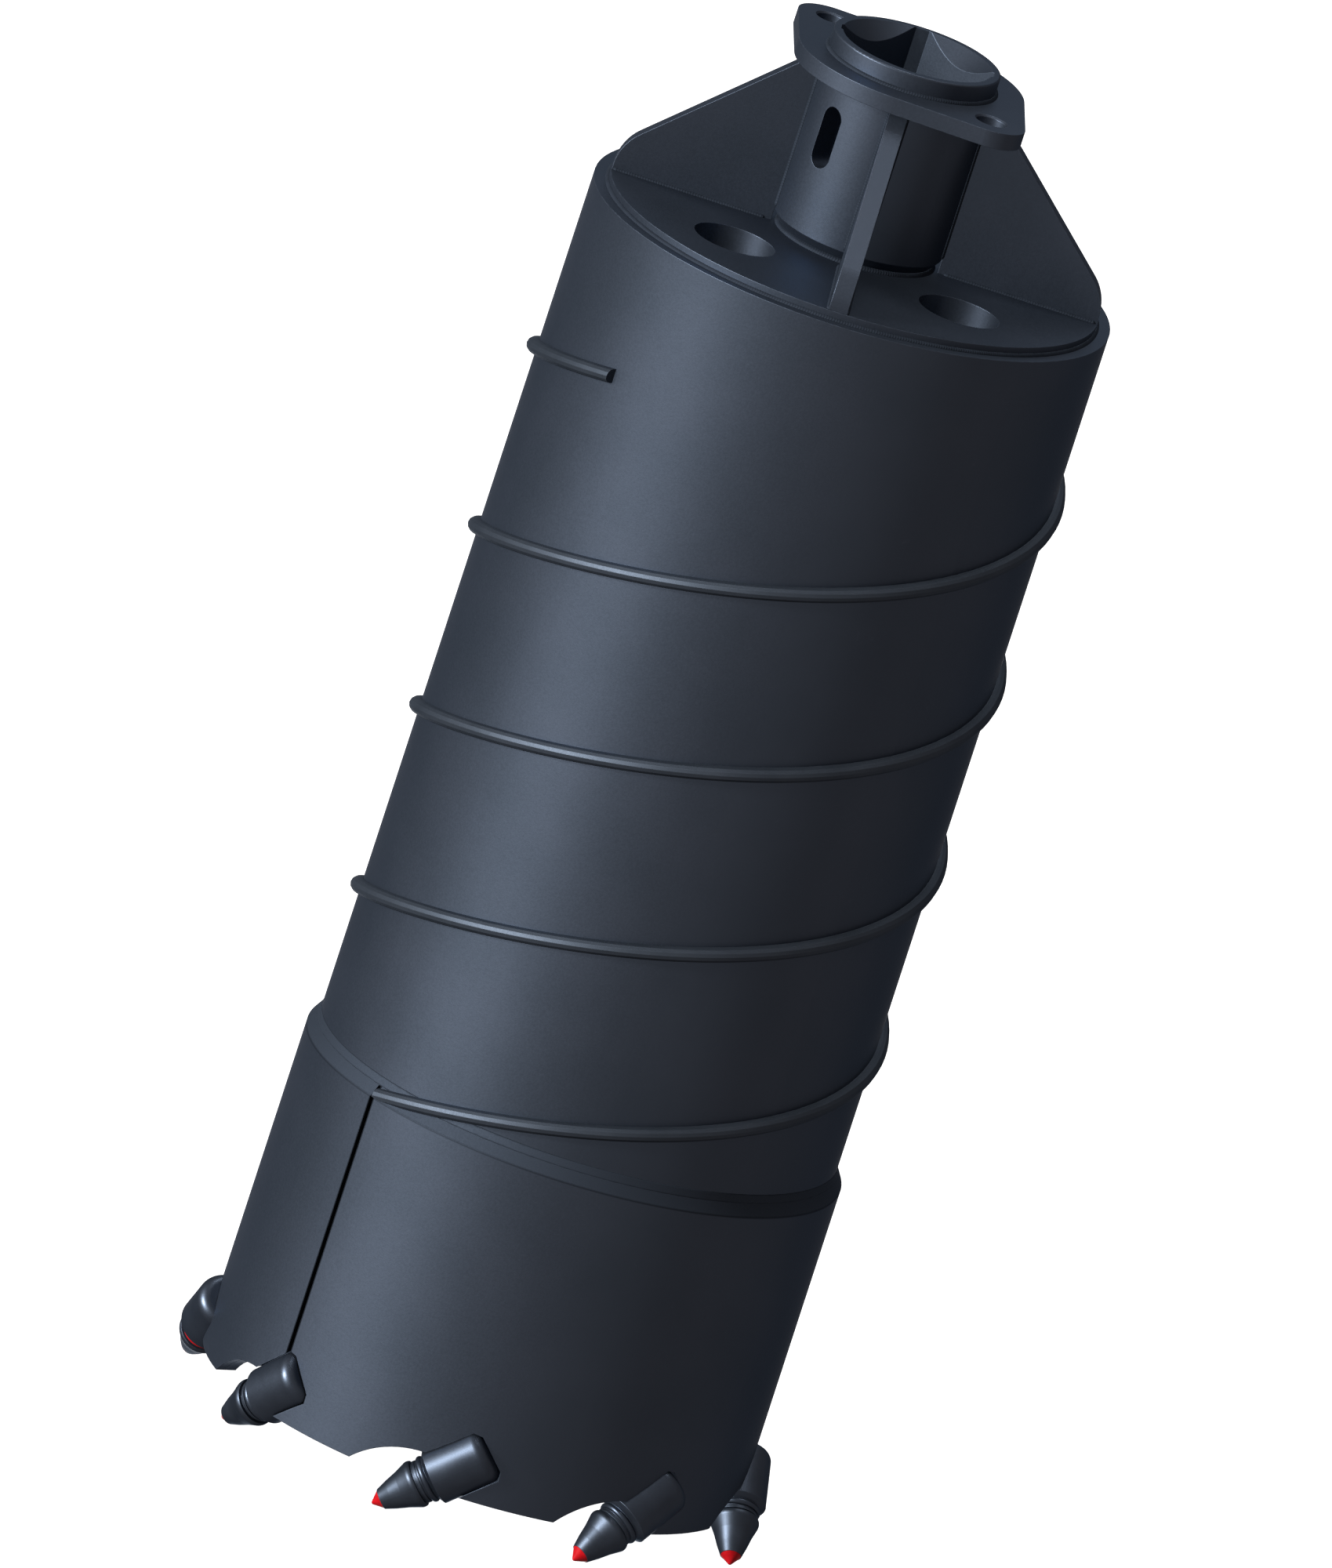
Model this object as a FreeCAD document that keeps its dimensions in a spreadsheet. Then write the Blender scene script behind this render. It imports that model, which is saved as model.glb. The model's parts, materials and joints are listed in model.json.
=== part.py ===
"""Rock core barrel for a rotary piling rig: a steel tube with spiral wear bars, a cutting shoe
with eight rotating round-shank bits, a top plate and a square drive box held by four gussets.

Millimetres. The barrel's axis is Z. The gauge bits' points stand on Z = 0, the ears of the box
flange point along X and the pin slots of the drive box open along Y.
"""
import FreeCAD, Part
import math
import os
import re
import Sketcher

Vector = FreeCAD.Vector

os.makedirs("parts", exist_ok=True)
doc = FreeCAD.newDocument("core_barrel")

# Driving dimensions
SIZES = [
    # Barrel tube
    ("barrel_outer_dia", 880),
    ("barrel_wall", 24),
    ("barrel_length", 2080),
    ("rim_height", 65),
    # Cutting shoe, two rolled halves round the tube's lower end
    ("shoe_thickness", 16),
    ("shoe_height", 564),
    ("shoe_bevel_height", 26),
    ("shoe_seam_width", 8),
    ("shoe_slot_gap", 2),
    # Chip gullets, cut into the rim ahead of each bit
    ("gullet_rise", 55),
    ("gullet_ahead", 58.5),
    ("gullet_crest_back", 59.5),
    ("gullet_end_back", 89.5),
    ("cut_overrun", 10),
    # Spiral wear bars
    ("bar_width", 25),
    ("bar_height", 18),
    ("bar_lead", 640),
    ("bar_turns", 2),
    ("bar_start_height", 567),
    # Top plate with its vent holes
    ("plate_thickness", 40),
    ("plate_proud", 15),
    ("vent_dia", 137),
    ("vent_circle_dia", 542),
    # Square drive box
    ("box_outer_dia", 284),
    ("box_height", 344),
    ("box_neck_step", 11),
    ("box_neck_height", 6),
    ("box_bevel_height", 15),
    ("box_edge_radius", 3),
    ("box_flat_wall", 42),
    ("socket_corner_cut", 16),
    ("mouth_land", 14.5),
    ("pin_slot_width", 42),
    ("pin_slot_length", 106),
    ("pin_slot_height", 185),
    # Flange with two ears
    ("flange_thickness", 28),
    ("flange_height", 283),
    ("flange_dia", 384),
    ("ear_distance", 207),
    ("ear_end_dia", 116),
    ("ear_hole_dia", 50),
    ("ear_hole_bevel", 3),
    # Gussets
    ("gusset_thickness", 31),
    ("gusset_top_width", 19),
    ("gusset_toe_height", 44),
    ("gusset_toe_radius", 85),
    ("gusset_toe_inset", 1.5),
    # Places and angles of the bits
    ("bit_tilt", 42.5),
    ("point_lead", 119.5),
    ("gauge_point_proud", 15),
    ("gauge_toe_out", 12.5),
    ("face_point_inset", 24),
    ("face_point_lift", 4),
    # Bit, along its own axis from the point
    ("tip_nose_radius", 4),
    ("tip_base_dia", 33),
    ("tip_length", 17),
    ("tip_plug_dia", 18),
    ("tip_plug_depth", 14),
    ("braze_gap", 0.1),
    ("head_land", 1),
    ("cone_front_dia", 50),
    ("cone_front_length", 36),
    ("cone_rear_dia", 63),
    ("cone_rear_length", 56),
    ("head_dia", 80.4),
    ("head_length", 74),
    ("head_rim_width", 10.5),
    ("head_rim_round", 1.2),
    ("hub_dia", 67),
    ("hub_length", 3.5),
    ("washer_outer_dia", 73),
    ("washer_inner_dia", 39),
    ("washer_thickness", 4.4),
    ("washer_gap", 0.1),
    ("shank_dia", 38),
    ("shank_front_length", 49),
    ("shank_waist_dia", 30),
    ("shank_waist_length", 50),
    ("shank_button_dia", 35),
    ("shank_button_length", 8),
    ("sleeve_slot_width", 6),
    # Bit holder
    ("holder_dia", 96),
    ("holder_length", 122.5),
    ("holder_end_round", 18),
    ("nose_neck_dia", 69),
    ("nose_neck_length", 3),
    ("nose_ridge_dia", 80.4),
    ("nose_ridge_length", 10.4),
    ("nose_ridge_round", 3),
    ("nose_bevel_length", 7),
    ("bore_end_gap", 4),
    # Clearances
    ("fit_gap", 0.3),
    ("running_gap", 0.05),
]

# Sizes that follow from the driving ones
DERIVED = [
    ("barrel_radius", "=barrel_outer_dia / 2"),
    ("bore_radius", "=barrel_radius - barrel_wall"),
    ("shoe_radius", "=barrel_radius + shoe_thickness"),
    ("shoe_top", "=rim_height + shoe_height + shoe_bevel_height"),
    ("shoe_shoulder", "=rim_height + shoe_height"),
    ("barrel_top", "=rim_height + barrel_length"),
    ("plate_top", "=barrel_top + plate_proud"),
    ("plate_bottom", "=plate_top - plate_thickness"),
    ("plate_radius", "=bore_radius - fit_gap"),
    ("box_radius", "=box_outer_dia / 2"),
    ("box_neck_radius", "=box_radius - box_neck_step"),
    ("socket_width", "=box_outer_dia - 2 * box_flat_wall"),
    ("mouth_dia", "=box_outer_dia - 2 * mouth_land"),
    ("box_top", "=plate_top + box_height"),
    ("flange_bottom", "=plate_top + flange_height"),
    ("flange_top", "=flange_bottom + flange_thickness"),
    ("collar_radius", "=box_radius + fit_gap"),
    ("tooth_base", "=tip_nose_radius * (1 - sin(bit_tilt))"),
    ("gauge_point_radius", "=shoe_radius + gauge_point_proud"),
    ("face_point_radius", "=shoe_radius - face_point_inset"),
    ("head_rear", "=head_length + head_rim_width"),
    ("hub_rear", "=head_rear + hub_length"),
    ("washer_front", "=hub_rear + washer_gap"),
    ("washer_rear", "=washer_front + washer_thickness"),
    ("waist_front", "=hub_rear + shank_front_length"),
    ("waist_rear", "=waist_front + shank_waist_length"),
    ("shank_rear", "=waist_rear + shank_button_length"),
    ("holder_front", "=washer_rear + washer_gap"),
    ("ridge_front", "=holder_front + nose_neck_length"),
    ("ridge_rear", "=ridge_front + nose_ridge_length"),
    ("holder_rear", "=holder_front + holder_length"),
    ("holder_radius", "=holder_dia / 2"),
    ("holder_bore_radius", "=shank_dia / 2"),
]

sheet = doc.addObject("Spreadsheet::Sheet", "Size")
for row, (alias, content) in enumerate(SIZES + DERIVED, start=1):
    sheet.set("A%d" % row, alias)
    sheet.set("B%d" % row, str(content))
    sheet.setAlias("B%d" % row, alias)
doc.recompute()

ALIAS = re.compile(r"\b(" + "|".join(alias for alias, content in SIZES + DERIVED) + r")\b")
pieces = []


def bound(formula):
    """The formula with each size name pointed at its cell of the sheet."""
    return ALIAS.sub(r"Size.\1", str(formula))


def value(formula):
    return float(sheet.evalExpression(bound(formula)))


def bind(item, prop, formula):
    item.setExpression(prop, bound(formula))


# Sketch and feature helpers
def new_body(name):
    body = doc.addObject("PartDesign::Body", name)
    body.Label = name
    pieces.append(body)
    return body


def origin_feature(body, role):
    for feature in body.Origin.OriginFeatures:
        if feature.Role == role:
            return feature


def sketch_on(body, role, height=None):
    """A sketch on one of the body's own planes, lifted along the plane's normal if asked."""
    sketch = body.newObject("Sketcher::SketchObject", "outline")
    sketch.AttachmentSupport = [(origin_feature(body, role), "")]
    sketch.MapMode = "FlatFace"
    if height is not None:
        bind(sketch, "AttachmentOffset.Base.z", height)
    return sketch


def fix_distance(sketch, side, place, across, formula):
    """Hold one point of the sketch at a distance from the origin, across it or up it."""
    if formula == 0:
        sketch.addConstraint(
            Sketcher.Constraint("PointOnObject", side, place, -2 if across else -1))
        return
    kind = "DistanceX" if across else "DistanceY"
    number = sketch.addConstraint(
        Sketcher.Constraint(kind, -1, 1, side, place, value(formula)))
    bind(sketch, "Constraints[%d]" % number, formula)


def fix_point(sketch, side, place, x, y):
    fix_distance(sketch, side, place, True, x)
    fix_distance(sketch, side, place, False, y)


def arc_between(start, end, centre, turn):
    """An arc from start to end round the centre, anticlockwise for a turn of 1. An arc's own
    direction is always anticlockwise, so a clockwise one is made from end to start."""
    first, last = (start, end) if turn > 0 else (end, start)
    angles = [math.atan2(point.y - centre.y, point.x - centre.x) for point in (first, last)]
    circle = Part.Circle(centre, Vector(0, 0, 1), (start - centre).Length)
    return Part.ArcOfCircle(circle, angles[0], angles[1])


def closed_outline(sketch, corners, bends=()):
    """A closed loop through the corners, each a pair of formulas. Every side is straight but
    those in bends, which give a side's number, its centre's two formulas and its turn."""
    rounds = {number: (x, y, turn) for number, x, y, turn in bends}
    points = [Vector(value(x), value(y), 0) for x, y in corners]
    first_side = sketch.GeometryCount
    ends = []
    for number, start in enumerate(points):
        end = points[(number + 1) % len(points)]
        if number in rounds:
            x, y, turn = rounds[number]
            centre = Vector(value(x), value(y), 0)
            sketch.addGeometry(arc_between(start, end, centre, turn), False)
            ends.append((1, 2) if turn > 0 else (2, 1))
        else:
            sketch.addGeometry(Part.LineSegment(start, end), False)
            ends.append((1, 2))
    for number, (x, y) in enumerate(corners):
        side = first_side + number
        after = (number + 1) % len(points)
        meet = Sketcher.Constraint("Coincident", side, ends[number][1],
                                   first_side + after, ends[after][0])
        sketch.addConstraint(meet)
        fix_point(sketch, side, ends[number][0], x, y)
    for number, (x, y, turn) in rounds.items():
        chord = points[(number + 1) % len(points)] - points[number]
        across = abs(chord.y) > abs(chord.x)
        fix_distance(sketch, first_side + number, 3, across, x if across else y)


def circle_in(sketch, x, y, radius):
    number = sketch.addGeometry(Part.Circle(Vector(value(x), value(y), 0), Vector(0, 0, 1),
                                            value(radius)), False)
    fix_point(sketch, number, 3, x, y)
    size = Sketcher.Constraint("Radius", number, value(radius))
    bind(sketch, "Constraints[%d]" % sketch.addConstraint(size), radius)


def revolve(body, corners, bends=(), angle=360, kind="PartDesign::Revolution"):
    """Turn a section, given as radius and height, about the body's Z axis."""
    sketch = sketch_on(body, "XZ_Plane")
    closed_outline(sketch, corners, bends)
    feature = body.newObject(kind, "turn")
    feature.Profile = sketch
    feature.ReferenceAxis = (sketch, ["V_Axis"])
    bind(feature, "Angle", angle)
    return feature


def turned(name, corners, bends=()):
    body = new_body(name)
    revolve(body, corners, bends)
    return body


def pad(body, sketch, length, both_ways=False):
    feature = body.newObject("PartDesign::Pad", "pad")
    feature.Profile = sketch
    bind(feature, "Length", length)
    feature.Midplane = both_ways
    return feature


def pocket(body, sketch, both_ways=False):
    """Cut the sketch through everything on the side its plane's normal points to, or both."""
    feature = body.newObject("PartDesign::Pocket", "cut")
    feature.Profile = sketch
    feature.Type = "ThroughAll"
    feature.Reversed = not both_ways
    feature.Midplane = both_ways
    return feature


def repeat_round(body, feature, count):
    pattern = body.newObject("PartDesign::PolarPattern", "round")
    pattern.Originals = [feature]
    pattern.Axis = (origin_feature(body, "Z_Axis"), [""])
    pattern.Angle = 360
    pattern.Occurrences = count
    body.Tip = pattern


# The bits stand round the rim at equal angles. Every fourth is a gauge bit, further out, toed
# out and a little lower than the face bits. Each is laid out along its own axis, from the point
# at zero back into its holder.
GAUGE = ("gauge_point_radius", "gauge_toe_out", "tooth_base")
FACE = ("face_point_radius", "0", "tooth_base + face_point_lift")
TEETH = [(number, 45 * number - 135) + (FACE if number % 4 else GAUGE) for number in range(1, 9)]


def tooth_place(azimuth, radius, toe, base):
    """Placement formula of a piece of the tooth at this azimuth."""
    return ("placement(vector(0; 0; 0); rotation(vector(0; 0; 1); %s))"
            " * placement(vector(%s; -point_lead; %s);"
            " rotation(vector(0; 0; 1); %s) * rotation(vector(1; 0; 0); bit_tilt - 90))"
            % (azimuth, radius, base, toe))


GULLET_CREST = "(point_lead - gullet_crest_back)"
GULLET_REACH = "(point_lead + gullet_ahead)"
GULLET_RADIUS = ("((%s - %s) ^ 2 + gullet_rise ^ 2) / (2 * gullet_rise)"
                 % (GULLET_REACH, GULLET_CREST))


def cut_rim(body, holder_gap):
    """Cut the eight gullets and the eight holder slots into a ring's lower rim."""
    sketch = sketch_on(body, "YZ_Plane")
    closed_outline(sketch, [
        ("-" + GULLET_REACH, "rim_height"),
        ("-" + GULLET_CREST, "rim_height + gullet_rise"),
        ("gullet_end_back - point_lead", "rim_height + gullet_rise"),
        ("gullet_end_back - point_lead", "rim_height - cut_overrun"),
        ("-" + GULLET_REACH, "rim_height - cut_overrun"),
    ], [(0, "-" + GULLET_CREST, "rim_height + gullet_rise - " + GULLET_RADIUS, -1)])
    gullet = pocket(body, sketch)
    repeat_round(body, gullet, 8)
    # A slot is a hole round the holder, coned in at the end where the holder is rounded
    wide = "(holder_radius + %s)" % holder_gap
    cone_length = "(holder_end_round * (2 - sqrt(2)))"
    for azimuth, count, tooth in ((0, 4, FACE), (-45, 2, FACE), (45, 2, GAUGE)):
        slot = body.newObject("PartDesign::SubtractiveCylinder", "holder_slot")
        bind(slot, "Radius", wide)
        bind(slot, "Height", "holder_rear + %s - %s" % (holder_gap, cone_length))
        bind(slot, "Placement", tooth_place(azimuth, *tooth))
        repeat_round(body, slot, count)
        end = body.newObject("PartDesign::SubtractiveCone", "slot_end")
        bind(end, "Radius1", wide)
        bind(end, "Radius2", "%s - %s" % (wide, cone_length))
        bind(end, "Height", cone_length)
        bind(end, "Placement", "%s * placement(vector(0; 0; holder_rear + %s - %s);"
             " rotation(vector(0; 0; 1); 0))"
             % (tooth_place(azimuth, *tooth), holder_gap, cone_length))
        repeat_round(body, end, count)


# Barrel tube
shell = new_body("barrel_shell")
revolve(shell, [
    ("bore_radius", "rim_height"),
    ("barrel_radius", "rim_height"),
    ("barrel_radius", "barrel_top"),
    ("bore_radius", "barrel_top"),
])
cut_rim(shell, "fit_gap")

# Cutting shoe: each half ends at a seam, at -Y and +Y
SEAM_ANGLE = "2 * asin(shoe_seam_width / 2 / shoe_radius)"
for number, middle in ((1, 0), (2, 180)):
    shoe = new_body("shoe_half_%d" % number)
    half = revolve(shoe, [
        ("barrel_radius + fit_gap", "rim_height"),
        ("shoe_radius", "rim_height"),
        ("shoe_radius", "shoe_shoulder"),
        ("barrel_radius + fit_gap", "shoe_top"),
    ], angle="180 deg - " + SEAM_ANGLE)
    half.Midplane = True
    cut_rim(shoe, "shoe_slot_gap")
    bind(shoe, "Placement.Rotation.Angle", str(middle))

# Spiral wear bars, ground to sit on the shoe's bevel. Their round back is rolled in facets, one
# for each 30 degrees.
BAR_MIDDLE = "(rim_height + bar_start_height)"
BAR_CREST_CENTRE = "(barrel_radius + bar_height - bar_width / 2)"
BAR_SECTION = (
    [("barrel_radius + fit_gap", BAR_MIDDLE + " - bar_width / 2")]
    + [("%s + bar_width / 2 * cos(%d)" % (BAR_CREST_CENTRE, angle),
        "%s + bar_width / 2 * sin(%d)" % (BAR_MIDDLE, angle)) for angle in range(-90, 91, 30)]
    + [("barrel_radius + fit_gap", BAR_MIDDLE + " + bar_width / 2")]
)
for number, azimuth in ((1, -90), (2, 90)):
    bar = new_body("wear_bar_%d" % number)
    section = sketch_on(bar, "XZ_Plane")
    closed_outline(section, BAR_SECTION)
    spiral = bar.newObject("PartDesign::AdditiveHelix", "spiral")
    spiral.Profile = section
    spiral.ReferenceAxis = (origin_feature(bar, "Z_Axis"), [""])
    spiral.Mode = "pitch-height-angle"
    bind(spiral, "Pitch", "bar_lead")
    bind(spiral, "Height", "bar_lead * bar_turns")
    revolve(bar, [
        ("barrel_radius - bar_height", "shoe_shoulder - bar_width"),
        ("barrel_radius + 2 * bar_height", "shoe_shoulder - bar_width"),
        ("barrel_radius + 2 * bar_height", "shoe_shoulder + fit_gap"),
        ("shoe_radius", "shoe_shoulder + fit_gap"),
        ("barrel_radius + fit_gap", "shoe_top + fit_gap"),
        ("barrel_radius - bar_height", "shoe_top + fit_gap"),
    ], kind="PartDesign::Groove")
    bar.Placement = FreeCAD.Placement(Vector(), Vector(0, 0, 1), azimuth)

# Top plate, let into the tube and standing a little proud of its rim
plate = turned("top_plate", [
    ("box_neck_radius + fit_gap", "plate_bottom"),
    ("plate_radius", "plate_bottom"),
    ("plate_radius", "plate_top"),
    ("box_neck_radius + fit_gap", "plate_top"),
])
vent = sketch_on(plate, "XY_Plane")
circle_in(vent, "vent_circle_dia / 2", 0, "vent_dia / 2")
repeat_round(plate, pocket(plate, vent), 4)

# Drive box: a neck through the plate, a bevelled foot, the square socket and its pin slots
box = turned("drive_box", [
    (0, "plate_bottom"),
    ("box_neck_radius", "plate_bottom"),
    ("box_neck_radius", "plate_top + box_neck_height"),
    ("box_radius", "plate_top + box_neck_height + box_bevel_height"),
    ("box_radius", "box_top - box_edge_radius"),
    ("box_radius - box_edge_radius", "box_top"),
    (0, "box_top"),
], [(4, "box_radius - box_edge_radius", "box_top - box_edge_radius", 1)])
socket = sketch_on(box, "XY_Plane")
HALF = "(socket_width / 2)"
CUT = "(socket_width / 2 - socket_corner_cut)"
closed_outline(socket, [
    (HALF, "-" + CUT), (HALF, CUT), (CUT, HALF), ("-" + CUT, HALF),
    ("-" + HALF, CUT), ("-" + HALF, "-" + CUT), ("-" + CUT, "-" + HALF), (CUT, "-" + HALF),
])
pocket(box, socket)
revolve(box, [
    (0, "box_top - mouth_dia / 2"),
    ("mouth_dia / 2", "box_top"),
    ("mouth_dia / 2", "box_top + box_edge_radius"),
    (0, "box_top + box_edge_radius"),
], kind="PartDesign::Groove")
pin_slot = sketch_on(box, "XZ_Plane")
slot_low = "(plate_top + pin_slot_height - pin_slot_length / 2 + pin_slot_width / 2)"
slot_high = "(plate_top + pin_slot_height + pin_slot_length / 2 - pin_slot_width / 2)"
closed_outline(pin_slot, [
    ("pin_slot_width / 2", slot_low),
    ("pin_slot_width / 2", slot_high),
    ("-pin_slot_width / 2", slot_high),
    ("-pin_slot_width / 2", slot_low),
], [(1, 0, slot_high, 1), (3, 0, slot_low, 1)])
pocket(box, pin_slot, both_ways=True)

# Flange round the box: a disc drawn out tangentially into two ears
flange = new_body("box_flange")
outline = sketch_on(flange, "XY_Plane", "flange_bottom")
lean = "asin((flange_dia - ear_end_dia) / 2 / ear_distance)"


def ear_corner(x_sign, y_sign, radius, centre):
    """Where an ear's straight flank meets the disc or the ear's round end."""
    return ("%d * (%s + %s * sin(%s))" % (x_sign, centre, radius, lean),
            "%d * %s * cos(%s)" % (y_sign, radius, lean))


DISC = ("flange_dia / 2", "0")
EAR = ("ear_end_dia / 2", "ear_distance")
closed_outline(outline, [
    ear_corner(1, -1, *EAR), ear_corner(1, 1, *EAR), ear_corner(1, 1, *DISC),
    ear_corner(-1, 1, *DISC), ear_corner(-1, 1, *EAR), ear_corner(-1, -1, *EAR),
    ear_corner(-1, -1, *DISC), ear_corner(1, -1, *DISC),
], [(0, "ear_distance", 0, 1), (2, 0, 0, 1), (4, "-ear_distance", 0, 1), (6, 0, 0, 1)])
pad(flange, outline, "flange_thickness")
openings = sketch_on(flange, "XY_Plane")
circle_in(openings, 0, 0, "collar_radius")
for side in ("", "-"):
    circle_in(openings, side + "ear_distance", 0, "ear_hole_dia / 2")
bored = pocket(flange, openings)
doc.recompute()
rims = [
    "Edge%d" % number
    for number, edge in enumerate(bored.Shape.Edges, start=1)
    if edge.Curve.TypeId == "Part::GeomCircle"
    and abs(edge.Curve.Radius - value("ear_hole_dia / 2")) < 0.01
    and abs(edge.CenterOfMass.z - value("flange_top")) < 0.01
]
bevel = flange.newObject("PartDesign::Chamfer", "hole_bevel")
bevel.Base = (bored, rims)
bind(bevel, "Size", "ear_hole_bevel")
flange.Tip = bevel

# Gussets, one at each corner of the socket
for number in range(1, 5):
    gusset = new_body("gusset_%d" % number)
    side = sketch_on(gusset, "XZ_Plane")
    toe = "(plate_radius - gusset_toe_inset)"
    closed_outline(side, [
        ("collar_radius", "plate_top"),
        (toe, "plate_top"),
        (toe, "plate_top + gusset_toe_height"),
        ("collar_radius + gusset_top_width", "flange_bottom"),
        ("collar_radius", "flange_bottom"),
    ])
    web = pad(gusset, side, "gusset_thickness", both_ways=True)
    doc.recompute()
    knees = [
        "Edge%d" % place
        for place, edge in enumerate(web.Shape.Edges, start=1)
        if abs(edge.CenterOfMass.x - value(toe)) < 0.01
        and abs(edge.CenterOfMass.z - value("plate_top + gusset_toe_height")) < 0.01
    ]
    knee = gusset.newObject("PartDesign::Fillet", "knee")
    knee.Base = (web, knees)
    bind(knee, "Radius", "gusset_toe_radius")
    gusset.Tip = knee
    gusset.Placement = FreeCAD.Placement(Vector(), Vector(0, 0, 1), 90 * number - 135)


# One tooth is a holder welded into the rim, and a bit that turns in it
def carbide_tip(name):
    """Pointed insert with a plug behind it."""
    half_angle = "atan((tip_base_dia / 2 - tip_nose_radius) / (tip_length - tip_nose_radius))"
    return turned(name, [
        (0, 0),
        ("tip_nose_radius * cos(%s)" % half_angle, "tip_nose_radius * (1 - sin(%s))" % half_angle),
        ("tip_base_dia / 2", "tip_length"),
        ("tip_plug_dia / 2", "tip_length"),
        ("tip_plug_dia / 2", "tip_length + tip_plug_depth"),
        (0, "tip_length + tip_plug_depth"),
    ], [(0, 0, "tip_nose_radius", 1)])


def bulge(chord, rise):
    """Radius of the arc that rises by this much over the middle of its chord."""
    return "((%s ^ 2 / 4 + %s ^ 2) / (2 * %s))" % (chord, rise, rise)


def bit_body(name):
    """Bulging cone that flares into a rounded rim, the hub behind it and the stepped shank."""
    rim_edge = "head_dia / 2 - head_rim_round"
    return turned(name, [
        ("tip_plug_dia / 2 + braze_gap", "tip_length"),
        ("tip_base_dia / 2 + head_land", "tip_length"),
        ("cone_front_dia / 2", "cone_front_length"),
        ("cone_rear_dia / 2", "cone_rear_length"),
        (rim_edge, "head_length"),
        (rim_edge, "head_rear"),
        ("hub_dia / 2", "head_rear"),
        ("hub_dia / 2", "hub_rear"),
        ("shank_dia / 2 - running_gap", "hub_rear"),
        ("shank_dia / 2 - running_gap", "waist_front"),
        ("shank_waist_dia / 2", "waist_front"),
        ("shank_waist_dia / 2", "waist_rear"),
        ("shank_button_dia / 2", "waist_rear"),
        ("shank_button_dia / 2", "shank_rear"),
        (0, "shank_rear"),
        (0, "tip_length + tip_plug_depth + braze_gap"),
        ("tip_plug_dia / 2 + braze_gap", "tip_length + tip_plug_depth + braze_gap"),
    ], [(4, "head_dia / 2 - " + bulge("head_rim_width", "head_rim_round"),
         "head_length + head_rim_width / 2", 1)])


def thrust_washer(name):
    """Flat ring between the bit's hub and the holder's nose."""
    return turned(name, [
        ("washer_inner_dia / 2", "washer_front"),
        ("washer_outer_dia / 2", "washer_front"),
        ("washer_outer_dia / 2", "washer_rear"),
        ("washer_inner_dia / 2", "washer_rear"),
    ])


def retaining_sleeve(name):
    """Slit spring tube that sits in the holder's bore round the waist of the shank."""
    inner = "(shank_waist_dia / 2 + running_gap)"
    body = turned(name, [
        (inner, "waist_front + fit_gap"),
        ("holder_bore_radius - running_gap", "waist_front + fit_gap"),
        ("holder_bore_radius - running_gap", "waist_rear - fit_gap"),
        (inner, "waist_rear - fit_gap"),
    ])
    slit = sketch_on(body, "YZ_Plane")
    half = "(sleeve_slot_width / 2)"
    closed_outline(slit, [
        ("-" + half, "waist_front"), (half, "waist_front"),
        (half, "waist_rear"), ("-" + half, "waist_rear"),
    ])
    pocket(body, slit)
    return body


def bit_holder(name):
    """Cylinder with a rounded ridge round its nose, a rounded end and a blind bore."""
    ridge_edge = "nose_ridge_dia / 2 - nose_ridge_round"
    return turned(name, [
        ("holder_bore_radius", "holder_front"),
        ("nose_neck_dia / 2", "holder_front"),
        ("nose_neck_dia / 2", "ridge_front"),
        (ridge_edge, "ridge_front"),
        (ridge_edge, "ridge_rear"),
        ("holder_radius", "ridge_rear + nose_bevel_length"),
        ("holder_radius", "holder_rear - holder_end_round"),
        ("holder_radius - holder_end_round", "holder_rear"),
        (0, "holder_rear"),
        (0, "shank_rear + bore_end_gap"),
        ("holder_bore_radius", "shank_rear + bore_end_gap"),
    ], [
        (3, "nose_ridge_dia / 2 - " + bulge("nose_ridge_length", "nose_ridge_round"),
         "ridge_front + nose_ridge_length / 2", 1),
        (6, "holder_radius - holder_end_round", "holder_rear - holder_end_round", 1),
    ])


for number, azimuth, *tooth in TEETH:
    for make, name in ((bit_holder, "holder"), (retaining_sleeve, "retaining_sleeve"),
                       (bit_body, "bit_body"), (thrust_washer, "thrust_washer"),
                       (carbide_tip, "carbide_tip")):
        piece = make("%s_%d" % (name, number))
        bind(piece, "Placement", tooth_place(azimuth, *tooth))

doc.recompute()

# Every object has to have worked before anything is written
for item in doc.Objects:
    if "Invalid" in item.State or "Error" in item.State:
        raise RuntimeError("%s did not recompute: %s" % (item.Label, item.State))
for piece in pieces:
    if piece.Shape.isNull() or not piece.Shape.isValid() or piece.Shape.Volume <= 0:
        raise RuntimeError("%s has no valid solid" % piece.Label)
for piece in pieces:
    piece.Shape.exportStep("parts/%s.step" % piece.Label)
    print("%-20s %12.0f mm3" % (piece.Label, piece.Shape.Volume))
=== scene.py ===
"""Looks of the rock core barrel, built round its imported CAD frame.

Everything is in metres in the frame of the CAD model: the barrel's axis is Z and the gauge bits'
points stand on Z = 0. Azimuths are in degrees from X, and colours are linear red, green and blue.
"""
import json
import math

import bmesh
import bpy
from mathutils import Matrix, Vector


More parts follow.
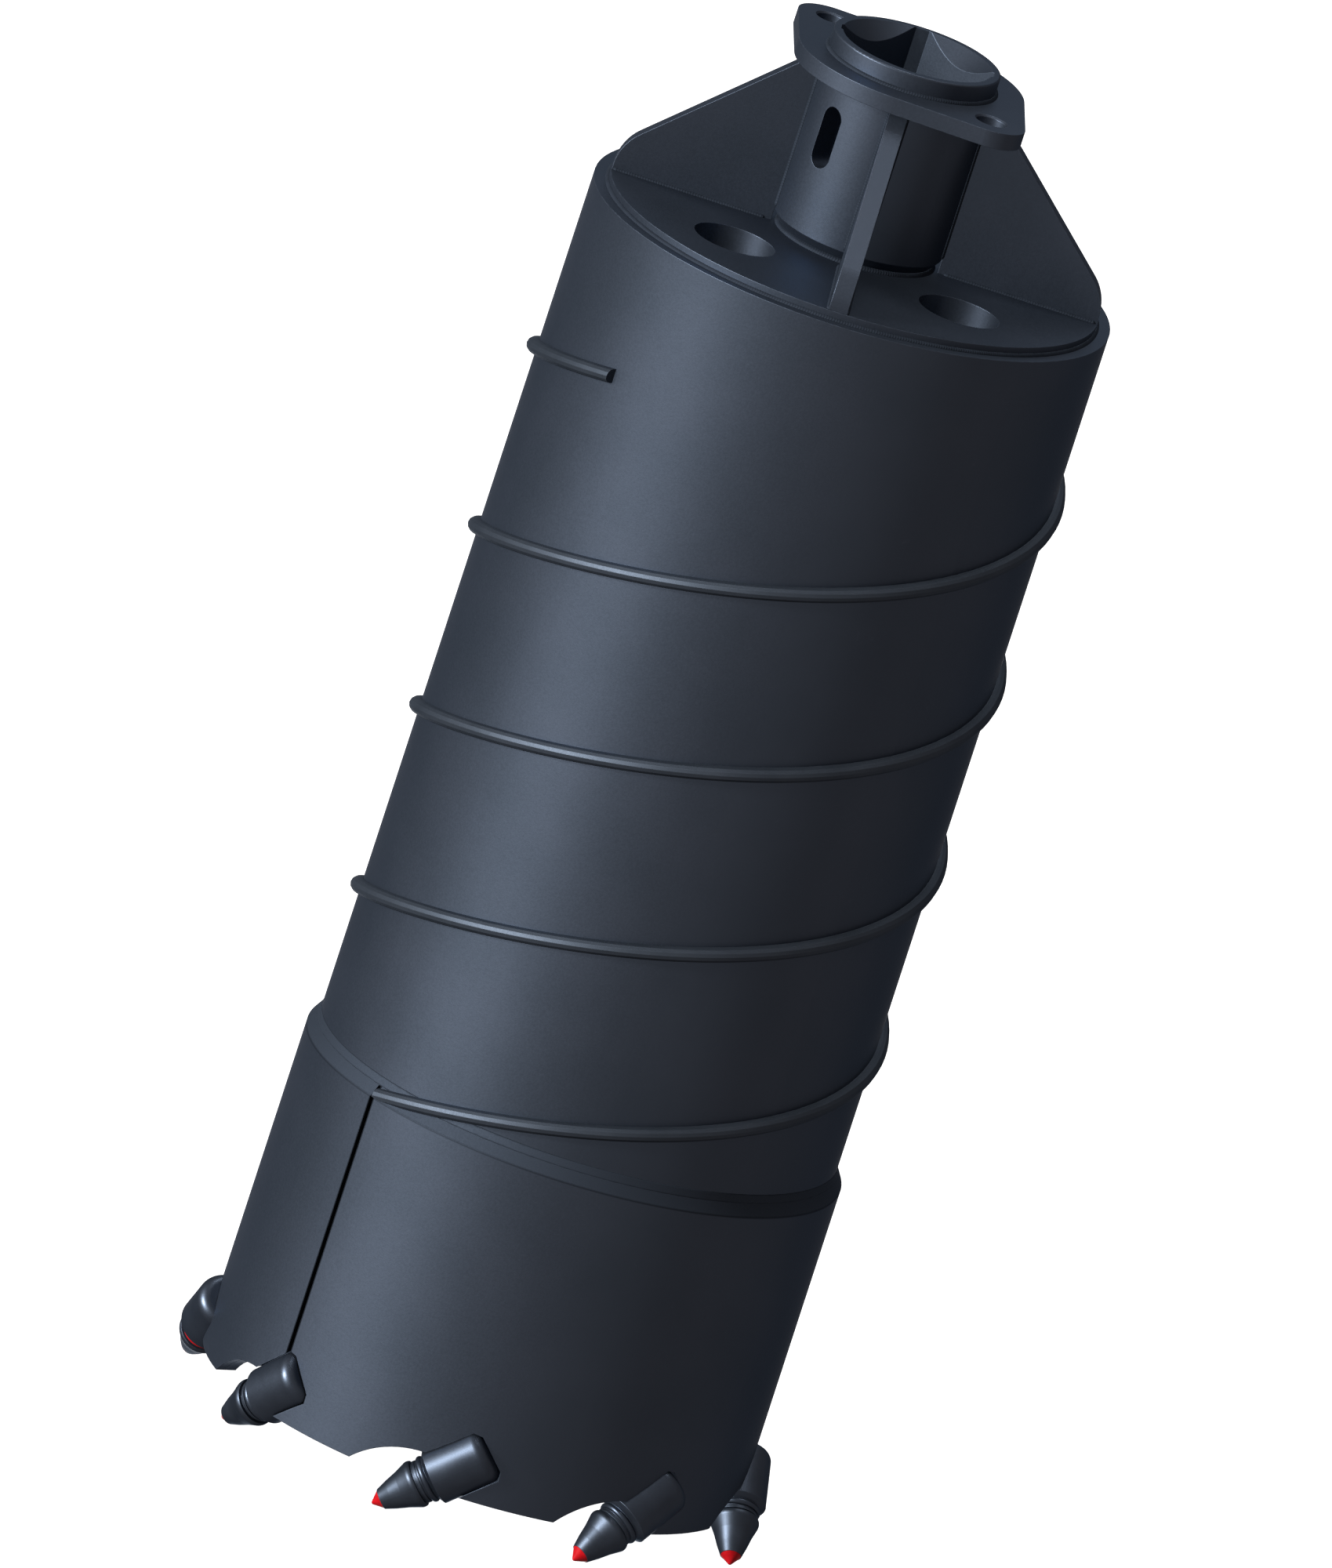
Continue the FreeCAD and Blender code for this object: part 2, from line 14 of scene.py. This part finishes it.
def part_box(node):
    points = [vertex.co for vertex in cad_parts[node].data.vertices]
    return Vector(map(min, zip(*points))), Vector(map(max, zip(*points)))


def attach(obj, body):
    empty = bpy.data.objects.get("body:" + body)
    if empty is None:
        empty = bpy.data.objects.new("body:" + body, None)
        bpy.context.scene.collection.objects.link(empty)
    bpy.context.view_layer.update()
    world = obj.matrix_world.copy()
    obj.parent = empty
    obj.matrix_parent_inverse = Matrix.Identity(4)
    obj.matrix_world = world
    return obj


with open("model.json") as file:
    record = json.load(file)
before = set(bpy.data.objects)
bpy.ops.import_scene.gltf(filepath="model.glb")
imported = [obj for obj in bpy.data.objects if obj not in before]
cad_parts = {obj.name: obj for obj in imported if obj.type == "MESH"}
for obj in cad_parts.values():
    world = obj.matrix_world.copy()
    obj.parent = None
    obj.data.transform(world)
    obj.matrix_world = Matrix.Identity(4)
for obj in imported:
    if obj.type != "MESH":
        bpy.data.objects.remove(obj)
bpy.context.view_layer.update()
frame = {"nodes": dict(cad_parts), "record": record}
scene = bpy.context.scene

UP = Vector((0, 0, 1))


def direction(azimuth, elevation):
    """Unit vector at an azimuth and an elevation above level, both in degrees."""
    azimuth = math.radians(azimuth)
    elevation = math.radians(elevation)
    level = Vector((math.cos(azimuth), math.sin(azimuth), 0))
    return level * math.cos(elevation) + UP * math.sin(elevation)


# Camera: level view directions first, then the picture's own roll
AZIMUTH = -46.1
ELEVATION = 16.05
ROLL = math.radians(18.08)
VIEW_HEIGHT = 2.55
TARGET_RIGHT = -0.0193
TARGET_UP = 1.1454
CAMERA_DISTANCE = 6.0
CAMERA_REACH = 100

towards_camera = direction(AZIMUTH, ELEVATION)
level_right = direction(AZIMUTH + 90, 0)
level_up = direction(AZIMUTH, ELEVATION + 90)
picture_right = level_right * math.cos(ROLL) + level_up * math.sin(ROLL)
picture_up = level_up * math.cos(ROLL) - level_right * math.sin(ROLL)
target = level_right * TARGET_RIGHT + level_up * TARGET_UP

camera_data = bpy.data.cameras.new("camera")
camera_data.type = "ORTHO"
camera_data.sensor_fit = "VERTICAL"
camera_data.ortho_scale = VIEW_HEIGHT
camera_data.clip_end = CAMERA_REACH
camera = bpy.data.objects.new("camera", camera_data)
scene.collection.objects.link(camera)
turn = Matrix((picture_right, picture_up, towards_camera)).transposed()
camera.matrix_world = Matrix.Translation(target + towards_camera * CAMERA_DISTANCE) @ turn.to_4x4()
scene.camera = camera
scene.view_settings.view_transform = "Standard"


# Node material helpers. Noise scales are in waves per metre.

# Places of the colour sockets on a Mix node
MIX_FIRST = 6
MIX_SECOND = 7
MIX_RESULT = 2
# Ranges of a noise's values: nearly all, the middle, a fine noise's middle, and the peaks
WIDE = (0.3, 0.7)
MIDDLE = (0.35, 0.65)
FINE_MIDDLE = (0.42, 0.62)
PEAKS = (0.64, 0.74)
# An edge begins and is full where the eased normal's cosine to the true one falls to these
EDGE_COSINES = (0.99, 0.86)
BEVEL_SAMPLES = 6


class Material:
    """A node material under construction, with its shader and the object's own coordinates."""

    def __init__(self, name):
        self.material = bpy.data.materials.new(name)
        self.material.use_nodes = True
        self.tree = self.material.node_tree
        self.shader = self.tree.nodes["Principled BSDF"]
        self.place = self.node("ShaderNodeTexCoord").outputs["Object"]

    def node(self, kind, **settings):
        """A new node, with each setting put on its socket or, where it has none, on the node."""
        made = self.tree.nodes.new(kind)
        for key, setting in settings.items():
            if key in made.inputs:
                made.inputs[key].default_value = setting
            else:
                setattr(made, key, setting)
        return made

    def link(self, output, node, socket):
        self.tree.links.new(output, node.inputs[socket])

    def uniform(self, socket, value):
        """Set a value of the shader that is the same all over the surface."""
        self.shader.inputs[socket].default_value = value

    def noise(self, scale, detail=3.0, roughness=0.5, distortion=0.0):
        made = self.node("ShaderNodeTexNoise", Scale=scale, Detail=detail, Roughness=roughness,
                         Distortion=distortion)
        self.link(self.place, made, "Vector")
        return made.outputs["Fac"]

    def coordinate(self, axis):
        split = self.node("ShaderNodeSeparateXYZ")
        self.link(self.place, split, "Vector")
        return split.outputs[axis]

    def spread(self, value, limits, results=(0.0, 1.0)):
        """Map a value between two limits evenly to the two results, and clamp it beyond them."""
        made = self.node("ShaderNodeMapRange", **{
            "From Min": limits[0], "From Max": limits[1],
            "To Min": results[0], "To Max": results[1]})
        self.link(value, made, "Value")
        return made.outputs["Result"]

    def mix(self, share, first, second):
        """Mix two colours, each a colour value or another node's output, by the second's share."""
        made = self.node("ShaderNodeMix", data_type="RGBA")
        self.link(share, made, "Factor")
        for socket, colour in ((MIX_FIRST, first), (MIX_SECOND, second)):
            if isinstance(colour, bpy.types.NodeSocket):
                self.link(colour, made, socket)
            else:
                made.inputs[socket].default_value = (*colour, 1)
        return made.outputs[MIX_RESULT]

    def add(self, first, second):
        return self.combine("ADD", first, second)

    def multiply(self, first, second):
        return self.combine("MULTIPLY", first, second)

    def combine(self, operation, first, second):
        made = self.node("ShaderNodeMath", operation=operation)
        self.link(first, made, 0)
        self.link(second, made, 1)
        return made.outputs[0]

    def rounded_normal(self, radius):
        """The surface's normal, eased over its sharp edges."""
        return self.node("ShaderNodeBevel", Radius=radius, samples=BEVEL_SAMPLES).outputs["Normal"]

    def edges(self, radius):
        """Mask that is 1 on sharp edges and falls to 0 within the radius."""
        compare = self.node("ShaderNodeVectorMath", operation="DOT_PRODUCT")
        self.link(self.rounded_normal(radius), compare, 0)
        self.link(self.node("ShaderNodeNewGeometry").outputs["Normal"], compare, 1)
        return self.spread(compare.outputs["Value"], EDGE_COSINES)

    def bump(self, normal, *layers):
        """Stack bump layers, each a height with its depth in metres, over a first normal."""
        for height, depth in layers:
            made = self.node("ShaderNodeBump", Distance=depth)
            self.link(height, made, "Height")
            self.link(normal, made, "Normal")
            normal = made.outputs["Normal"]
        self.link(normal, self.shader, "Normal")


def scaled(colour, factor):
    return [channel * factor for channel in colour]


# Paint over steel. Tones are factors on a paint's own colours, and what is duller is rougher.
METALLIC = 0.9
# The tint keeps the paint from paling where it turns away
EDGE_TINT = (0.33, 0.37, 0.43, 1)
EDGE_EASE = 0.0015
# Noise scales and a depth, as multiples of the skin's or the clouds' own
GRAIN_SCALE = 0.6
SCUFF_SCALE = 8
SCUFF_DEPTH = 2
PATCH_SCALE = 14
GRAIN_DRIFT = 0.025
SCUFF_SHARE = 0.35
SCUFF_TONE = 1.35
WEAR_WIDTH = 0.003
WEAR_SHARES = (0.1, 0.9)
WEAR_TONE = 1.3
WEAR_DULL = 0.14
# The painted shade and duller paint over the shoe's weld, and the dark line along its toe, begin
# and end this far above the weld's toe
WELD_SHADE_EDGE = (-0.002, 0.001)
WELD_SHADE_TONE = 0.72
WELD_SHADE_DULL = 0.25
TOE_LINE_LOW = (-0.003, -0.001)
TOE_LINE_HIGH = (0, 0.002)
TOE_LINE_SHARE = 0.6
TOE_LINE_TONE = 0.2
# The painted shade of a seam: how far to each side it is full and ends, and over what height it
# fades
SEAM_SHADE_FULL = 0.0055
SEAM_SHADE_END = 0.007
SEAM_SHADE_FADE = 0.001
SEAM_SHADE_SHARE = 0.85
SEAM_SHADE_TONE = 0.1
SEAM_SHADE_DULL = 0.3


def weld_painted_shade(made, tone, roughness, dark, toe):
    """Painted shade and duller paint above the toe of the shoe's weld, with a dark line along the
    toe.
    """
    height = made.coordinate("Z")
    above = made.spread(height, [toe + edge for edge in WELD_SHADE_EDGE])
    along_toe = made.multiply(
        made.spread(height, [toe + edge for edge in TOE_LINE_LOW]),
        made.spread(height, [toe + edge for edge in TOE_LINE_HIGH], (TOE_LINE_SHARE, 0.0)))
    tone = made.mix(above, tone, scaled(dark, WELD_SHADE_TONE))
    tone = made.mix(along_toe, tone, scaled(dark, TOE_LINE_TONE))
    return tone, made.add(roughness, made.spread(above, (0.0, 1.0), (0.0, WELD_SHADE_DULL)))


def seam_painted_shade(made, tone, roughness, dark, seam_top):
    """Painted shade in and along the shoe's two seams, which lie at X = 0, up to their top."""
    across = made.coordinate("X")
    below_top = made.spread(made.coordinate("Z"), (seam_top - SEAM_SHADE_FADE, seam_top), (1.0, 0.0))
    along_seams = made.multiply(
        made.spread(across, (-SEAM_SHADE_END, -SEAM_SHADE_FULL)),
        made.spread(across, (SEAM_SHADE_FULL, SEAM_SHADE_END), (SEAM_SHADE_SHARE, 0.0)))
    along_seams = made.multiply(along_seams, below_top)
    tone = made.mix(along_seams, tone, scaled(dark, SEAM_SHADE_TONE))
    return tone, made.add(roughness, made.spread(along_seams, (0.0, 1.0), (0.0, SEAM_SHADE_DULL)))


def paint(name, dark, light, roughness, cloud_scale, skin_scale, skin_depth, drift=0.03,
          toe=None, seam_top=None):
    """Satin paint over steel.

    Its tone and, by the drift, its roughness change slowly, its skin has a fine sprayed grain,
    thin scuffs catch the light, and the metal shows through in patches along the edges. A toe is
    the height at which the shoe's weld begins: above it shade is painted, with a darker line
    along it. A seam top is the height up to which shade is painted in and along the shoe's seams.
    """
    made = Material(name)
    clouds = made.noise(cloud_scale, detail=4.0)
    grain = made.noise(skin_scale * GRAIN_SCALE, detail=2.0)
    scuffs = made.noise(cloud_scale * SCUFF_SCALE, detail=8.0, roughness=0.7, distortion=1.5)
    patches = made.noise(cloud_scale * PATCH_SCALE, detail=5.0)
    scuffed = made.spread(scuffs, PEAKS, (0.0, SCUFF_SHARE))
    worn = made.multiply(made.edges(WEAR_WIDTH), made.spread(patches, FINE_MIDDLE, WEAR_SHARES))
    tone = made.mix(made.spread(clouds, MIDDLE), dark, light)
    tone = made.mix(scuffed, tone, scaled(light, SCUFF_TONE))
    tone = made.mix(worn, tone, scaled(light, WEAR_TONE))
    satin = made.add(made.spread(clouds, WIDE, (roughness - drift, roughness + drift)),
                     made.spread(grain, WIDE, (-GRAIN_DRIFT, GRAIN_DRIFT)))
    satin = made.add(satin, made.spread(worn, (0.0, 1.0), (0.0, WEAR_DULL)))
    if toe is not None:
        tone, satin = weld_painted_shade(made, tone, satin, dark, toe)
    if seam_top is not None:
        tone, satin = seam_painted_shade(made, tone, satin, dark, seam_top)
    made.link(tone, made.shader, "Base Color")
    made.link(satin, made.shader, "Roughness")
    made.uniform("Metallic", METALLIC)
    made.uniform("Specular Tint", EDGE_TINT)
    made.bump(made.rounded_normal(EDGE_EASE), (made.noise(skin_scale, detail=1.0), skin_depth),
              (scuffs, skin_depth * SCUFF_DEPTH))
    return made.material


def red_enamel(name, roughness, drift=0.04):
    """Red coating on a small hard piece, a little darker where it pools."""
    made = Material(name)
    clouds = made.noise(scale=90.0, detail=3.0)
    skin = made.noise(scale=900.0, detail=1.0)
    tone = made.mix(made.spread(clouds, MIDDLE), (0.34, 0.002, 0.005), (0.43, 0.004, 0.008))
    made.link(tone, made.shader, "Base Color")
    made.link(made.spread(clouds, WIDE, (roughness - drift, roughness + drift)),
              made.shader, "Roughness")
    made.uniform("Specular IOR Level", 0.15)
    made.bump(made.rounded_normal(radius=0.0008), (skin, 0.00002))
    return made.material


def bare_spring(name):
    """Bright drawn steel of the retaining sleeves."""
    made = Material(name)
    streaks = made.noise(scale=300.0, detail=4.0, roughness=0.7)
    made.link(made.mix(streaks, (0.28, 0.29, 0.31), (0.42, 0.43, 0.45)), made.shader, "Base Color")
    made.link(made.spread(streaks, WIDE, (0.28, 0.4)), made.shader, "Roughness")
    made.uniform("Metallic", 1.0)
    made.bump(made.rounded_normal(radius=0.0005), (streaks, 0.00001))
    return made.material


# Finishes: one for each material slot, and others for the tube, shoe, wear bars and welds
SHOE_BEVEL_HEIGHT = 0.026
shoe_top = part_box("shoe_half_1")[1].z
shoe_shoulder = shoe_top - SHOE_BEVEL_HEIGHT

tube_look = {"dark": (0.058, 0.073, 0.098), "light": (0.064, 0.079, 0.106), "roughness": 0.47,
             "cloud_scale": 5, "skin_scale": 420, "skin_depth": 0.00004, "drift": 0.008}
finishes = {
    "barrel_steel": paint("barrel_paint", **tube_look),
    "holder_steel": paint("holder_paint", (0.054, 0.067, 0.090), (0.065, 0.081, 0.108),
                          roughness=0.40, cloud_scale=16, skin_scale=700, skin_depth=0.00002),
    "bit_steel": paint("bit_paint", (0.051, 0.063, 0.083), (0.062, 0.077, 0.102),
                       roughness=0.45, cloud_scale=22, skin_scale=800, skin_depth=0.00002),
    "red_carbide": red_enamel("carbide_red", roughness=0.4),
    "red_washer": red_enamel("washer_red", roughness=0.5),
    "spring_steel": bare_spring("spring_steel"),
}
# The shell's and the shoe's paints carry painted shade in the seams, the shoe's also over its weld
shell_finish = paint("shell_paint", **tube_look, seam_top=shoe_top)
shoe_finish = paint("shoe_paint", **tube_look, toe=shoe_shoulder, seam_top=shoe_shoulder)
bar_finish = paint("bar_paint", (0.052, 0.064, 0.082), (0.060, 0.073, 0.093), roughness=0.57,
                   cloud_scale=12, skin_scale=500, skin_depth=0.00003, drift=0.01)
# Painted shade: the welds' paint is darker than the tube's, to hold down the light their faces
# catch
shaded_weld_finish = paint("weld_paint_shaded", (0.027, 0.034, 0.046), (0.035, 0.044, 0.060), roughness=0.78,
                    cloud_scale=30, skin_scale=500, skin_depth=0.00006)
own_finishes = {"barrel_shell": shell_finish,
                "shoe_half_1": shoe_finish, "shoe_half_2": shoe_finish,
                "wear_bar_1": bar_finish, "wear_bar_2": bar_finish}

# Every CAD node keeps its mesh and takes its finish. Edges turn sharp above this angle.
SHARP_EDGE = math.radians(36)
for entry in frame["record"]["subparts"]:
    mesh = frame["nodes"][entry["node"]].data
    mesh.materials.clear()
    mesh.materials.append(own_finishes.get(entry["node"], finishes[entry["material_slot"]]))
    mesh.shade_smooth()
    mesh.set_sharp_from_angle(angle=SHARP_EDGE)


# Weld beads, which only the picture needs: the solids touch where they are welded.

# One ripple's length, and by how many radians its crown lags behind its edges
RIPPLE = 0.0045
RIPPLE_LAG = 1.8
# How finely a bead is divided along its run and across its crown
RUN_STEP = RIPPLE / 4
SECTION_STEPS = 6
SECTION_POINTS = SECTION_STEPS + 2
ROOT_DEPTH = 0.0005
# A bead's end is as large as its rounding is this far in
END_LENGTH = 0.0002


def bead_section(place, leg, along, crown_rise, ripple_rise):
    """One cross-section of a bead: its root, and then its crown from wall to wall."""
    corner, first, second = place
    points = [corner - (first + second) * ROOT_DEPTH]
    for step in range(SECTION_STEPS + 1):
        share = step / SECTION_STEPS
        crown = math.sin(math.pi * share)
        ripple = math.sin(2 * math.pi * along / RIPPLE - RIPPLE_LAG * crown)
        rise = crown_rise * crown + ripple_rise * ripple
        points.append(corner + first * leg * (1 - share + rise) + second * leg * (share + rise))
    return points


def bead_faces(start, count, ring):
    """Faces round a bead of so many cross-sections, whose points are numbered from a start.

    The bead is joined into a ring, or else its two ends are closed.
    """
    faces = []
    for index in range(count if ring else count - 1):
        here = start + index * SECTION_POINTS
        there = start + (index + 1) % count * SECTION_POINTS
        for side in range(SECTION_POINTS):
            other = (side + 1) % SECTION_POINTS
            faces.append((here + side, here + other, there + other, there + side))
    if not ring:
        end = start + count * SECTION_POINTS
        faces.append(tuple(range(start, start + SECTION_POINTS)))
        faces.append(tuple(reversed(range(end - SECTION_POINTS, end))))
    return faces


def weld(name, runs, finish, crown_rise=0.16, ripple_rise=0.045):
    """One piece that holds several fillet welds.

    Each run is a leg length and a list of places along the corner, and each place is the corner
    point with the directions in which the two surfaces leave it. A run whose ends meet is a ring,
    and any other one is rounded off at its ends. The rises are shares of the leg.
    """
    points = []
    faces = []
    for leg, places in runs:
        length = sum((b[0] - a[0]).length for a, b in zip(places, places[1:]))
        ring = (places[0][0] - places[-1][0]).length < 2 * RUN_STEP
        faces += bead_faces(len(points), len(places), ring)
        along = 0.0
        before = places[0][0]
        for place in places:
            along += (place[0] - before).length
            before = place[0]
            from_end = min(along, length - along) + END_LENGTH
            size = leg if ring else leg * math.sqrt(min(1.0, from_end / leg))
            points += bead_section(place, size, along, crown_rise, ripple_rise)
    mesh = bpy.data.meshes.new(name)
    mesh.from_pydata(points, [], faces)
    mesh.materials.append(finish)
    outside = bmesh.new()
    outside.from_mesh(mesh)
    bmesh.ops.recalc_face_normals(outside, faces=outside.faces)
    outside.to_mesh(mesh)
    outside.free()
    mesh.shade_smooth()
    mesh.set_sharp_from_angle(angle=SHARP_EDGE)
    piece = bpy.data.objects.new(name, mesh)
    scene.collection.objects.link(piece)
    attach(piece, "barrel")


def straight_run(leg, start, end, first, second):
    count = max(2, round((end - start).length / RUN_STEP))
    return leg, [(start.lerp(end, index / count), first, second) for index in range(count + 1)]


def round_run(leg, radius, height, first, second):
    """A ring round the axis; its directions are given as outwards and upwards shares."""
    count = round(2 * math.pi * radius / RUN_STEP)
    places = []
    for index in range(count):
        out = direction(360 * index / count, 0)
        places.append((out * radius + UP * height,
                       out * first[0] + UP * first[1], out * second[0] + UP * second[1]))
    return leg, places


OUTWARDS = (1, 0)
UPWARDS = (0, 1)
DOWNWARDS = (0, -1)

# Sizes that the boxes of the CAD nodes don't give. The box's foot is its neck and bevel, and a
# clearance of 3 mm over them.
TUBE_RADIUS = 0.440
SHOE_THICKNESS = 0.016
BOX_NECK_STEP = 0.011
BOX_FOOT_HEIGHT = 0.024
GUSSET_THICKNESS = 0.031
GUSSET_TOP_WIDTH = 0.019
# Leg lengths of the welds, and how far a gusset's beads stay off the box and the gusset's ends
GUSSET_LEG = 0.004
NECK_LEG = 0.006
RIM_LEG = 0.005
SHOE_LEG = 0.008
BOX_CLEARANCE = 0.012
TOE_CLEARANCE = 0.002
TOP_CLEARANCE = 0.001

tube_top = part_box("barrel_shell")[1].z
plate_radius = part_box("top_plate")[1].x
plate_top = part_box("top_plate")[1].z
box_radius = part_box("drive_box")[1].x
flange_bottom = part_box("box_flange")[0].z
flange_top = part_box("box_flange")[1].z

# The gussets stand at 45 degrees to X and Y, and their flanks meet the round box at the root
half_gusset = GUSSET_THICKNESS / 2
gusset_root = math.sqrt(box_radius ** 2 - half_gusset ** 2)
gusset_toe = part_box("gusset_1")[1].x * math.sqrt(2) - half_gusset
gusset_top = box_radius + GUSSET_TOP_WIDTH
gusset_runs = []
for azimuth in (45, 135, 225, 315):
    out = direction(azimuth, 0)
    for side in (1, -1):
        across = UP.cross(out) * side
        flank = across * half_gusset
        root = flank + out * gusset_root
        round_box = (across * gusset_root - out * half_gusset).normalized()
        gusset_runs.append(straight_run(
            GUSSET_LEG, root + out * BOX_CLEARANCE + UP * plate_top,
            flank + out * (gusset_toe - TOE_CLEARANCE) + UP * plate_top, across, UP))
        gusset_runs.append(straight_run(
            GUSSET_LEG, root + UP * (plate_top + BOX_FOOT_HEIGHT), root + UP * flange_bottom,
            out, round_box))
        gusset_runs.append(straight_run(
            GUSSET_LEG, root + UP * flange_bottom,
            flank + out * (gusset_top - TOP_CLEARANCE) + UP * flange_bottom, across, -UP))
weld("gusset_welds", gusset_runs, shaded_weld_finish)
weld("box_welds", [
    round_run(NECK_LEG, box_radius - BOX_NECK_STEP, plate_top, OUTWARDS, UPWARDS),
    round_run(RIM_LEG, box_radius, flange_bottom, OUTWARDS, DOWNWARDS),
    round_run(RIM_LEG, box_radius, flange_top, OUTWARDS, UPWARDS),
], shaded_weld_finish)
weld("plate_weld", [round_run(RIM_LEG, plate_radius, tube_top, OUTWARDS, UPWARDS)], shaded_weld_finish)

# The shoe's weld is nearly flush: it only eases the corner between the tube and the bevel
down_bevel = tuple(Vector((SHOE_THICKNESS, -SHOE_BEVEL_HEIGHT)).normalized())
# Its paint carries the painted shade over the shoe's weld
weld("shoe_weld", [round_run(SHOE_LEG, TUBE_RADIUS, shoe_top, UPWARDS, down_bevel)], shoe_finish,
     crown_rise=-0.02, ripple_rise=0.004)


# Floor and background
FLOOR_RADIUS = 40
FLOOR_LIGHT = 0.66
BACKDROP = (1.0, 0.90, 0.88, 1)
BACKDROP_STRENGTH = 0.26


def paper(name):
    """Nearly white paper that keeps its own light and only hints at a shadow."""
    made = Material(name)
    fibres = made.noise(scale=60.0, detail=5.0)
    made.link(made.mix(fibres, (0.78, 0.78, 0.78), (0.82, 0.82, 0.82)), made.shader, "Base Color")
    made.link(made.spread(fibres, WIDE, (0.85, 0.95)), made.shader, "Roughness")
    made.uniform("Specular IOR Level", 0.0)
    made.uniform("Emission Color", (1, 1, 1, 1))
    made.uniform("Emission Strength", FLOOR_LIGHT)
    return made.material


bpy.ops.mesh.primitive_circle_add(vertices=96, radius=FLOOR_RADIUS, fill_type="NGON")
floor = bpy.context.active_object
floor.name = "floor"
floor.data.materials.append(paper("paper"))
floor.visible_diffuse = False
floor.visible_glossy = False
floor.visible_shadow = False

world = bpy.data.worlds.new("studio")
scene.world = world
world.use_nodes = True
backdrop = world.node_tree.nodes["Background"]
backdrop.inputs["Color"].default_value = BACKDROP
backdrop.inputs["Strength"].default_value = BACKDROP_STRENGTH


def distant_light(name, source, strength, spread, shadow=True):
    """A distant light from its source's direction, softened by a disc of so many degrees."""
    data = bpy.data.lights.new(name, "SUN")
    data.energy = strength
    data.angle = math.radians(spread)
    data.use_shadow = shadow
    light = bpy.data.objects.new(name, data)
    light.rotation_mode = "QUATERNION"
    light.rotation_quaternion = source.to_track_quat("Z", "Y")
    scene.collection.objects.link(light)


# The photograph's key light hardly shadows, so most of it shines through the part
key = direction(-104.4, 17.7)
distant_light("key", key, strength=1.3, spread=12)
distant_light("key_through", key, strength=5.3, spread=12, shadow=False)
distant_light("top", direction(134, 84), strength=0.8, spread=20)
distant_light("rear", direction(134, 30), strength=0.12, spread=40)
# This comes from under the floor, as its bounce would, so the picture's side isn't touched
distant_light("back", direction(134, -30), strength=0.45, spread=30)
